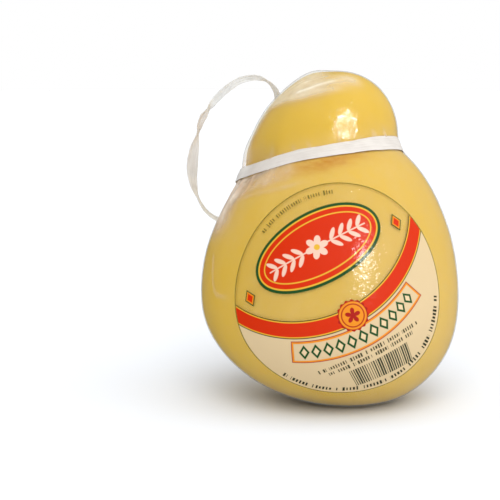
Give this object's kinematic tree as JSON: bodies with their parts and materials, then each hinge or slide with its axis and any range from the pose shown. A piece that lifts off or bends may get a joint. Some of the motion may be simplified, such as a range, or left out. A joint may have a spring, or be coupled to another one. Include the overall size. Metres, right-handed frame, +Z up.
{
  "type": "shrink-wrapped scamorza cheese",
  "caption": "Pear-shaped pulled-curd cheese sealed in clear shrink film, with a round front label, a band of flat white tape tied round its neck and a carrying loop behind its head.",
  "frame": {"origin": "middle of the flat spot that the belly rests on, on the floor", "axes": "+Z up through the head, -Y out of the round front label, +X to the viewer's right of that label"},
  "size_m": [0.1056, 0.102, 0.1256],
  "materials": {
    "film_over_cheese": "golden cheese under tight clear film, glossy with a few milky pleats",
    "label_stock": "printed film label, part clear and part cream",
    "white_tape": "flat woven white tape with lengthwise streaks"
  },
  "bodies": {
    "root": {"bagged_cheese": "film_over_cheese", "front_label": "label_stock", "back_label": "label_stock", "neck_band": "white_tape", "knot": "white_tape", "carrying_loop": "white_tape"}
  },
  "joints": []
}
